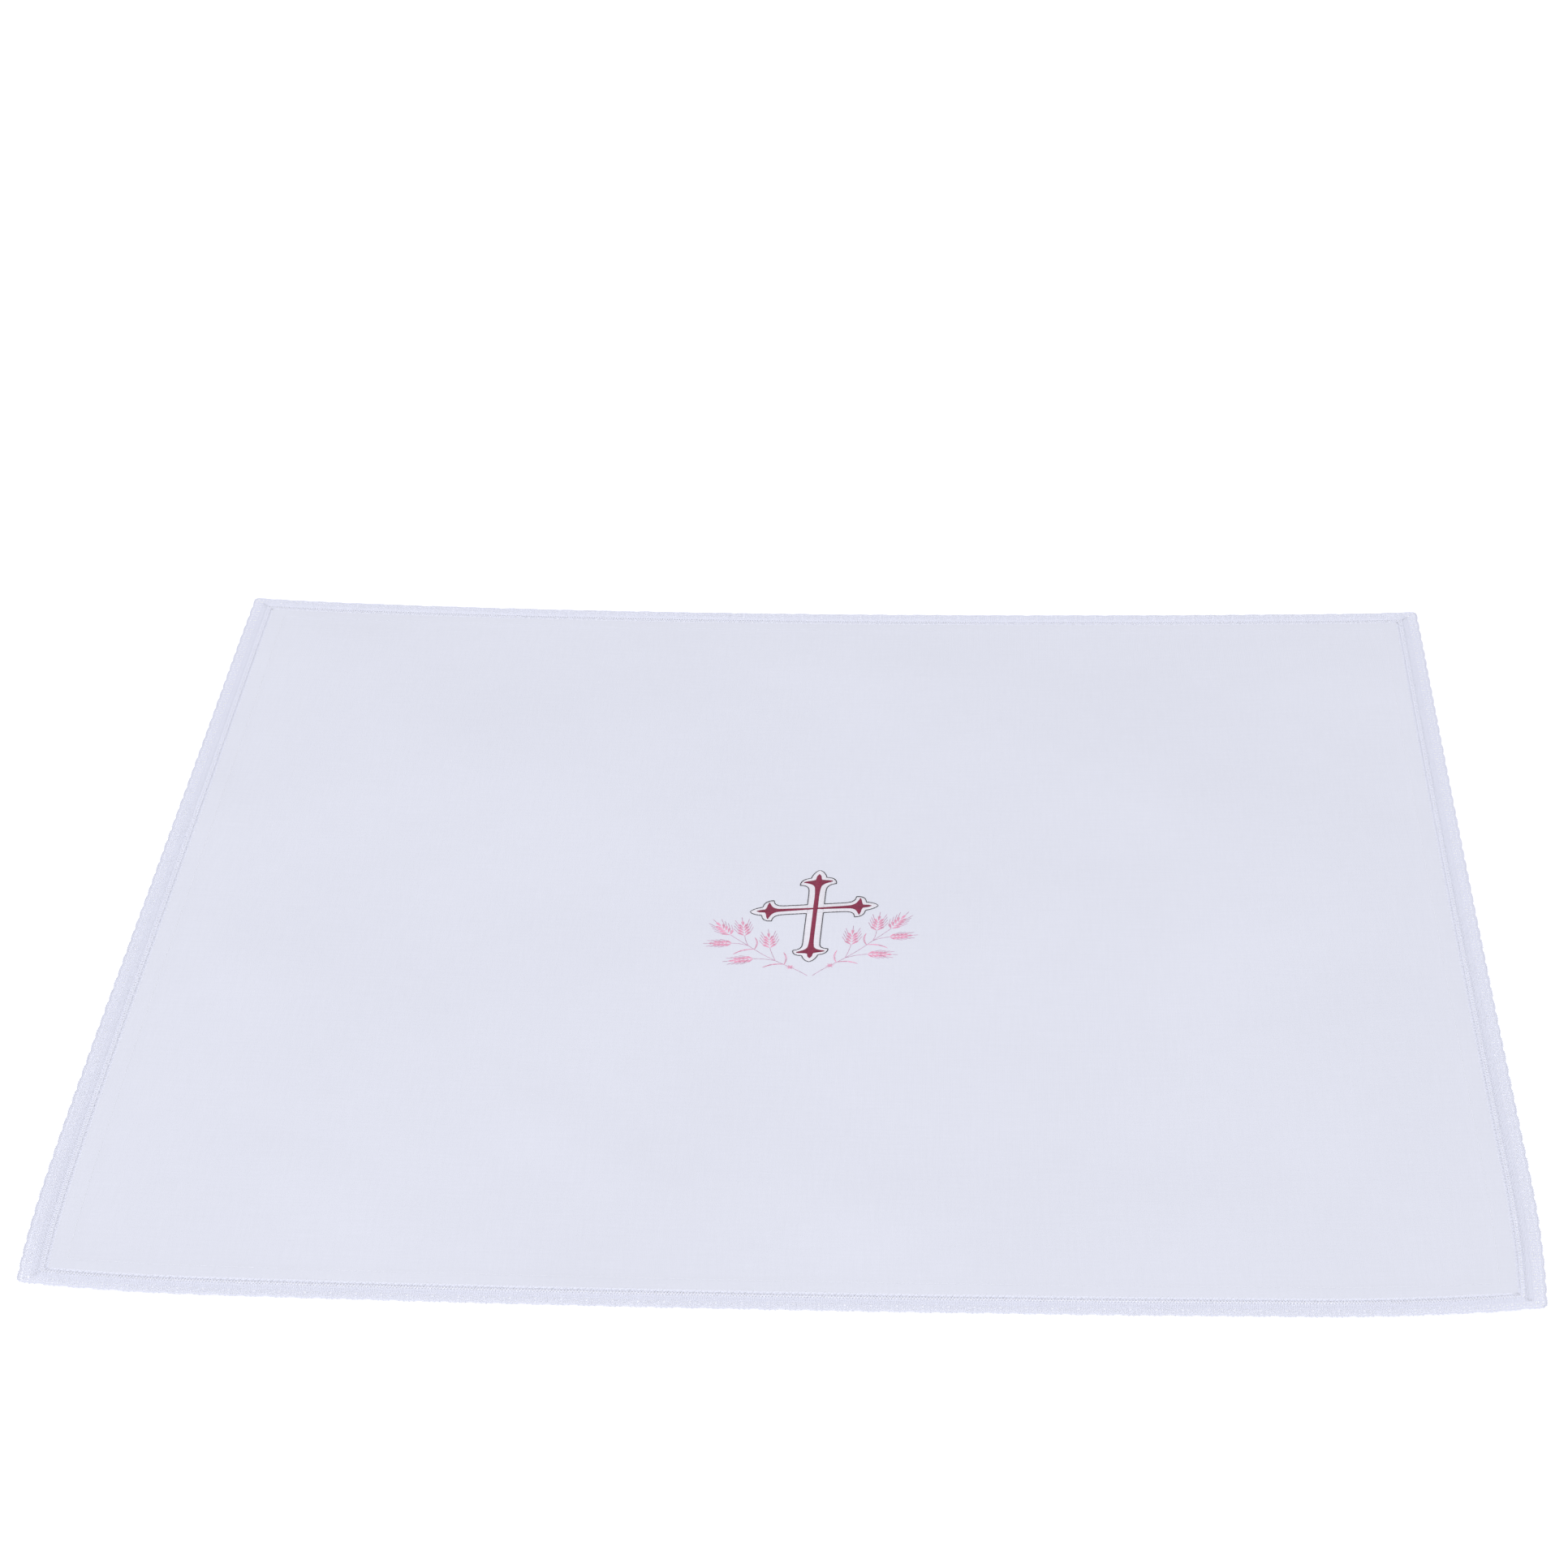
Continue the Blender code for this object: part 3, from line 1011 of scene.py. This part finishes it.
# How high the satin and the outline lie on the filling, as shares of its thickness
SATIN_UP = 0.7
OUTLINE_UP = 0.3
# How far the satin of an arm reaches past the crossing, in millimetres
SATIN_PAST_CROSSING = 0.5

# Each arm: how far its outline reaches from the crossing, which way it points, how much longer and wider
# its end is than the one above, and half the satin's width at the crossing
Arm = namedtuple("Arm", "reach turn_deg longer wider satin")
ARMS = (
    Arm(reach=23.6, turn_deg=0, longer=1.0, wider=1.14, satin=0.45),
    Arm(reach=28.6, turn_deg=90, longer=1.25, wider=0.97, satin=0.95),
    Arm(reach=24.5, turn_deg=180, longer=1.0, wider=1.14, satin=0.45),
    Arm(reach=38.2, turn_deg=270, longer=1.02, wider=0.88, satin=0.85),
)


def arm_side(arm, lines):
    """One side of an arm's end, as (distance from the crossing, distance from the middle)."""
    end = np.vstack([smooth_line(line) for line in lines])
    along = arm.reach - end[:, 0] * arm.longer
    # The arm itself keeps its width
    beyond = np.maximum(end[:, 1] - ARM_HALF_WIDTH, 0)
    return np.column_stack((along, end[:, 1] + beyond * (arm.wider - 1)))


def arm_turned(arm, points):
    """Points along and beside an arm as points (P, Q)."""
    turn = math.radians(arm.turn_deg)
    return points @ np.array(((math.cos(turn), math.sin(turn)), (-math.sin(turn), math.cos(turn))))


def arm_outline(arm, lines, base):
    """The outline of one arm, counter-clockwise from its base at the right to its base at the left."""
    left = np.vstack((base, arm_side(arm, lines)))
    return arm_turned(arm, np.vstack((left * (1, -1), left[::-1])))


def cross_outline():
    """The outline of the whole cross."""
    return np.vstack([arm_outline(arm, OUTLINE_LINES, (ARM_HALF_WIDTH, ARM_HALF_WIDTH)) for arm in ARMS])


def hatch(outline, pitch, turn_deg):
    """Stitches side by side that fill an outline of the cross, running along turn_deg."""
    turn = math.radians(turn_deg)
    spin = np.array(((math.cos(turn), -math.sin(turn)), (math.sin(turn), math.cos(turn))))
    flat = np.asarray(outline) @ spin
    ends = np.roll(flat, -1, axis=0)
    stitches = []
    for row in np.arange(flat[:, 1].min() + pitch / 2, flat[:, 1].max(), pitch):
        crossed = (flat[:, 1] > row) != (ends[:, 1] > row)
        start, end = flat[crossed], ends[crossed]
        run = end - start
        meets = np.sort(start[:, 0] + (row - start[:, 1]) * run[:, 0] / run[:, 1])
        for left, right in zip(meets[::2], meets[1::2]):
            if right - left > pitch:
                stitches.append(Stitch(*on_cloth(np.array(((left, row), (right, row))) @ spin.T)))
    return stitches


def cross_filling(pitch):
    """White rows across the arms, out to the outline."""
    stitches = []
    for arm in ARMS:
        base = -ARM_HALF_WIDTH if arm.turn_deg == 90 else ARM_HALF_WIDTH
        outline = arm_outline(arm, OUTLINE_LINES, (base, ARM_HALF_WIDTH))
        stitches += hatch(outline, pitch, arm.turn_deg + 90)
    return stitches


def cross_satin(pitch):
    """Wine satin across the middle line of each arm, and across the two wings at its end."""
    stitches = []
    for arm in ARMS:
        outline = arm_outline(arm, SATIN_LINES, (-SATIN_PAST_CROSSING, arm.satin))
        stitches += hatch(outline, pitch, arm.turn_deg + 90)
        for side in (1, -1):
            wing = arm_turned(arm, arm_side(arm, WING_LINES) * (1, side))
            stitches += hatch(wing, pitch, arm.turn_deg)
    return stitches


class ALTARCLOTH_OT_cross(bpy.types.Operator):
    """Embroider the cross: white filling, wine satin and dark outline"""

    bl_idname = "altar_cloth.cross"
    bl_label = "Cross"

    def execute(self, context):
        threads, top = context.scene.altar_embroidery, context.scene.altar_linen.thickness
        pitch = threads.satin_pitch / MM
        # Each stitch of the filling and the satin is lighter or darker at random: painted sheen and shade,
        # slight on the white
        white = silky_thread("rayon_white_filling", tuple(threads.white), depth=0.97, lightness=1.03)
        wine = silky_thread("rayon_wine_satin", tuple(threads.wine), sheen=0.06)
        dark = tuple(threads.charcoal)
        charcoal = cotton_thread("cotton_charcoal_outline", dark, roughness=0.7, sheen=0.1)
        flat = threads.thread * SATIN_FLATNESS
        filling = Thread(threads.thread * FILLING_SPREAD, flat, white, "white_thread")
        satin = Thread(threads.thread, flat, wine, "wine_thread")
        fine_width = threads.outline_thread
        fine = Thread(fine_width, fine_width * OUTLINE_FLATNESS, charcoal, "charcoal_thread")
        outline = along_path(on_cloth(cross_outline()), threads.outline_stitch, True, -OUTLINE_OVERLAP)
        sew("cross_filling", cross_filling(pitch), top, filling, seed=3)
        sew("cross_satin", cross_satin(pitch), top + flat * SATIN_UP, satin, seed=4)
        sew("cross_outline", outline, top + flat * OUTLINE_UP, fine, seed=5)
        return {"FINISHED"}


# One spray of wheat, right of the cross, in millimetres; the other is its mirror image
Ear = namedtuple("Ear", "base_p base_q tip_p tip_q")
EARS = (
    Ear(base_p=15.0, base_q=-27.0, tip_p=15.8, tip_q=-14.2),
    Ear(base_p=21.0, base_q=-34.2, tip_p=31.5, tip_q=-35.4),
    Ear(base_p=24.5, base_q=-17.6, tip_p=25.8, tip_q=-5.0),
    Ear(base_p=29.8, base_q=-16.6, tip_p=36.2, tip_q=-5.6),
    Ear(base_p=29.2, base_q=-22.6, tip_p=39.2, tip_q=-22.0),
)
Leaf = namedtuple("Leaf", "base_p base_q tip_p tip_q bend width")
LEAVES = (
    Leaf(base_p=9.6, base_q=-39.2, tip_p=9.8, tip_q=-30.6, bend=0.9, width=0.55),
    Leaf(base_p=9.9, base_q=-38.9, tip_p=17.4, tip_q=-40.6, bend=1.0, width=0.55),
    Leaf(base_p=20.7, base_q=-27.6, tip_p=20.6, tip_q=-19.2, bend=0.9, width=0.55),
    Leaf(base_p=20.9, base_q=-27.4, tip_p=28.4, tip_q=-30.4, bend=1.0, width=0.55),
)
STEMS = (
    ((0.9, -47.6), (4.0, -44.2), (7.4, -41.0), (9.9, -38.9), (12.8, -36.2)),
    ((12.8, -36.2), (17.0, -32.0), (20.9, -27.4), (23.0, -24.8)),
    ((12.8, -36.2), (14.0, -31.8), (15.0, -27.0)),
    ((12.8, -36.2), (16.6, -34.8), (21.0, -34.2)),
    ((23.0, -24.8), (24.0, -21.4), (24.5, -17.6)),
    ((23.0, -24.8), (26.4, -20.8), (29.8, -16.6)),
    ((23.0, -24.8), (26.0, -23.2), (29.2, -22.6)),
)
KNOT = (7.3, -41.1)
KNOT_TURNS_DEG = (10, 38, 66, 94, 122, 150)
KNOT_REACHES = (1.7, 1.2, 1.6, 1.2, 1.7, 1.1)

# An ear: pairs of grains up its axis, one at its end, and an awn from each. Steps and lengths are shares
# of the ear's length, and the grains lean out less from pair to pair.
GRAIN_PAIRS = 4
GRAIN_STEP = 0.14
GRAIN_LENGTH = 0.34
GRAIN_SPREAD_DEG = 40
GRAIN_CLOSING_DEG = 4
# A grain's threads, by their place from its middle one: how far apart they start and end, in millimetres,
# and how much later they start and how much shorter they are than the middle
GRAIN_THREADS = (-1.2, -0.4, 0.4, 1.2)
GRAIN_FOOT = 0.12
GRAIN_TIP = 0.42
GRAIN_LATER = 0.05
GRAIN_SHORTER = 0.2
# Awns lean out less than their grains and start inside their tips; the one at the ear's end is shorter
AWN_LENGTH = 0.26
AWN_SPREAD = 0.55
AWN_START = 0.9
END_AWN = 0.8
LEAF_THREADS = (-0.4, 0.4)
# Stitches of stems and leaves overlap by this share of their length
STEM_OVERLAP = 0.1
# The wheat's threads are finer and flatter than the cross's: their width and height as shares of its thread
GRAIN_THREAD = (0.62, 0.45)
STEM_THREAD = (0.52, 0.38)


def way(turn):
    """One step in the direction of an angle."""
    return np.array((math.cos(turn), math.sin(turn)))


def ear_stitches(ear):
    """The stitches of one ear: those of its grains, and those of its awns."""
    base, tip = np.array((ear.base_p, ear.base_q)), np.array((ear.tip_p, ear.tip_q))
    length = math.dist(base, tip)
    lean = math.atan2(tip[1] - base[1], tip[0] - base[0])
    grains, awns = [], []
    pairs = [(pair, side) for pair in range(GRAIN_PAIRS) for side in (-1, 1)]
    for pair, side in [*pairs, (GRAIN_PAIRS, 0)]:
        spread = math.radians(side * (GRAIN_SPREAD_DEG - GRAIN_CLOSING_DEG * pair))
        ahead = way(lean + spread) * length
        across = way(lean + spread + math.pi / 2)
        root = base + (tip - base) * pair * GRAIN_STEP
        for thread in GRAIN_THREADS:
            start = root + across * thread * GRAIN_FOOT + ahead * GRAIN_LATER * abs(thread)
            reach = GRAIN_LENGTH * (1 - GRAIN_SHORTER * abs(thread))
            grains.append((start, root + ahead * reach + across * thread * GRAIN_TIP))
        awn = root + ahead * GRAIN_LENGTH * AWN_START
        awn_length = length * AWN_LENGTH * (1 if side else END_AWN)
        awns.append((awn, awn + way(lean + spread * AWN_SPREAD) * awn_length))
    return grains, awns


def leaf_lines(leaf):
    """The threads of a sickle-shaped leaf, side by side along its bend."""
    base, tip = np.array((leaf.base_p, leaf.base_q)), np.array((leaf.tip_p, leaf.tip_q))
    side = np.array((base[1] - tip[1], tip[0] - base[0])) / math.dist(base, tip)
    shares = np.linspace(0, 1, 13)[:, None]
    lines = []
    for place in LEAF_THREADS:
        bend = leaf.bend + place * leaf.width
        lines.append(base + (tip - base) * shares + side * bend * np.sin(math.pi * shares))
    return lines


def mirrored(lines):
    """These lines in (P, Q) on the cloth: all of them right of the cross, then all of them left of it."""
    return [on_cloth(np.asarray(line) * (side, 1), WHEAT_AXES) for side in (1, -1) for line in lines]


def wheat_stitches(straight, lines, pitch):
    """Single stitches, and rows of overlapping ones along lines, on both sides of the cross."""
    stitches = [Stitch(*ends) for ends in mirrored(straight)]
    for line in mirrored(lines):
        stitches += along_path(line, pitch, False, -STEM_OVERLAP)
    return stitches


class ALTARCLOTH_OT_wheat(bpy.types.Operator):
    """Embroider the two sprays of wheat"""

    bl_idname = "altar_cloth.wheat"
    bl_label = "Wheat"

    def execute(self, context):
        threads, top = context.scene.altar_embroidery, context.scene.altar_linen.thickness
        # The pink's stitches differ most in painted sheen and shade, from 0.8 to 1.2 of its colour
        pink = silky_thread("rayon_pink_satin", tuple(threads.pink), depth=0.8, lightness=1.2)
        rose = silky_thread("rayon_rose_thread", tuple(threads.rose))
        grains, awns = [], []
        for ear in EARS:
            ear_grains, ear_awns = ear_stitches(ear)
            grains += ear_grains
            awns += ear_awns
        for turn_deg, reach in zip(KNOT_TURNS_DEG, KNOT_REACHES):
            half = way(math.radians(turn_deg)) * reach
            grains.append((KNOT - half, KNOT + half))
        leaves = [line for leaf in LEAVES for line in leaf_lines(leaf)]
        stems = [smooth_line(stem) for stem in STEMS]
        thick = Thread(*(threads.thread * share for share in GRAIN_THREAD), pink, "pink_thread")
        fine = Thread(*(threads.thread * share for share in STEM_THREAD), rose, "pink_thread")
        sew("wheat_ears", wheat_stitches(grains, leaves, threads.stem_stitch), top, thick, seed=6)
        sew("wheat_stems", wheat_stitches(awns, stems, threads.stem_stitch), top, fine, seed=7)
        return {"FINISHED"}


# Stage

# The camera that fits the cloth's four corners
CAMERA_LENS = 93.27
CAMERA_SENSOR = 36
CAMERA_TARGET = Vector((-12.7 * MM, 95.1 * MM, 0))
CAMERA_DISTANCE = 1.6083
CAMERA_ELEVATION_DEG = 29.215
CAMERA_HEADING_DEG = 2.768
CAMERA_ROLL_DEG = -0.549
FLOOR_HALF = 9.0
FLOOR_DROP = 0.15 * MM
FLOOR_TOOTH = 0.05 * MM
# The soft box stands in front, so the cloth's back is a little darker
KEY_PLACE = Vector((-1.0, -1.7, 3.4))
KEY_SIZE = 2.1


def paper_floor(colour, glow):
    """Matt white background paper, lit from behind too: no gloss, and the finest tooth."""
    material, tree, shader = new_material("matt_background_paper")
    place = add(tree, "ShaderNodeTexCoord").outputs["Object"]
    # Paper fibres of about 1 mm
    tooth = add(tree, "ShaderNodeTexNoise", {"Vector": place, "Scale": 900, "Detail": 2})
    relief = {"Height": tooth.outputs["Fac"], "Strength": 0.05, "Distance": FLOOR_TOOTH}
    bump = add(tree, "ShaderNodeBump", relief)
    finish = {
        "Base Color": (*colour, 1),
        "Normal": bump.outputs["Normal"],
        "Roughness": 1,
        "Specular IOR Level": 0,
        "Emission Color": (*colour, 1),
        "Emission Strength": glow,
    }
    feed(tree, shader, finish)
    return material


class ALTARCLOTH_OT_stage(bpy.types.Operator):
    """Make the floor, the lights and the camera"""

    bl_idname = "altar_cloth.stage"
    bl_label = "Stage"

    def execute(self, context):
        scene, stage = context.scene, context.scene.altar_stage
        floor_mesh = bpy.data.meshes.new("floor")
        plane = bmesh.new()
        bmesh.ops.create_grid(plane, x_segments=1, y_segments=1, size=FLOOR_HALF)
        bmesh.ops.translate(plane, verts=plane.verts, vec=(0, 0, -FLOOR_DROP))
        plane.to_mesh(floor_mesh)
        plane.free()
        floor_mesh.materials.append(paper_floor(tuple(stage.floor), stage.glow))
        floor = bpy.data.objects.new("floor", floor_mesh)
        scene.collection.objects.link(floor)

        world = bpy.data.worlds.new("even_light")
        world.use_nodes = True
        sky = {"Color": (1, 1, 1, 1), "Strength": stage.dome}
        feed(world.node_tree, world.node_tree.nodes["Background"], sky)
        scene.world = world
        light = bpy.data.lights.new("key", "AREA")
        light.energy = stage.key
        light.size = KEY_SIZE
        key = bpy.data.objects.new("key", light)
        key.location = KEY_PLACE
        key.rotation_euler = (-KEY_PLACE).to_track_quat("-Z", "Y").to_euler()
        scene.collection.objects.link(key)

        heading, elevation = math.radians(CAMERA_HEADING_DEG), math.radians(CAMERA_ELEVATION_DEG)
        level = math.cos(elevation)
        back = Vector((math.sin(heading) * level, -math.cos(heading) * level, math.sin(elevation)))
        lens = bpy.data.cameras.new("camera")
        lens.lens = CAMERA_LENS
        lens.sensor_width = CAMERA_SENSOR
        camera = bpy.data.objects.new("camera", lens)
        camera.rotation_mode = "QUATERNION"
        roll = Matrix.Rotation(math.radians(CAMERA_ROLL_DEG), 3, "Z")
        facing = (-back).to_track_quat("-Z", "Y").to_matrix()
        camera.rotation_quaternion = (facing @ roll).to_quaternion()
        camera.location = CAMERA_TARGET + back * CAMERA_DISTANCE
        scene.collection.objects.link(camera)
        scene.camera = camera
        scene.view_settings.view_transform = "Standard"
        return {"FINISHED"}


class ALTARCLOTH_PT_panel(bpy.types.Panel):
    """Lists what makes the altar cloth"""

    bl_idname = "ALTARCLOTH_PT_panel"
    bl_label = "Altar Cloth"
    bl_space_type = "VIEW_3D"
    bl_region_type = "UI"
    bl_category = "Altar Cloth"

    def draw(self, context):
        for settings, operators in PANEL_ROWS:
            box = self.layout.box()
            group = getattr(context.scene, settings)
            for name in group.bl_rna.properties.keys():
                if name not in ("rna_type", "name"):
                    box.prop(group, name)
            for operator in operators:
                box.operator(operator.bl_idname)


PANEL_ROWS = (
    ("altar_linen", (ALTARCLOTH_OT_linen,)),
    ("altar_lace", (ALTARCLOTH_OT_lace,)),
    ("altar_sewing", (ALTARCLOTH_OT_sewing,)),
    ("altar_embroidery", (ALTARCLOTH_OT_cross, ALTARCLOTH_OT_wheat)),
    ("altar_stage", (ALTARCLOTH_OT_stage,)),
)
SETTINGS = {
    "altar_linen": LinenSettings,
    "altar_lace": LaceSettings,
    "altar_sewing": SewingSettings,
    "altar_embroidery": EmbroiderySettings,
    "altar_stage": StageSettings,
}
CLASSES = (
    *SETTINGS.values(),
    ALTARCLOTH_OT_linen,
    ALTARCLOTH_OT_lace,
    ALTARCLOTH_OT_sewing,
    ALTARCLOTH_OT_cross,
    ALTARCLOTH_OT_wheat,
    ALTARCLOTH_OT_stage,
    ALTARCLOTH_PT_panel,
)


def register():
    for kind in CLASSES:
        bpy.utils.register_class(kind)
    for name, kind in SETTINGS.items():
        setattr(bpy.types.Scene, name, bpy.props.PointerProperty(type=kind))


def unregister():
    for name in SETTINGS:
        delattr(bpy.types.Scene, name)
    for kind in reversed(CLASSES):
        bpy.utils.unregister_class(kind)


def main():
    register()
    bpy.ops.altar_cloth.linen()
    bpy.ops.altar_cloth.lace()
    bpy.ops.altar_cloth.sewing()
    bpy.ops.altar_cloth.cross()
    bpy.ops.altar_cloth.wheat()
    bpy.ops.altar_cloth.stage()


if __name__ == "__main__":
    main()
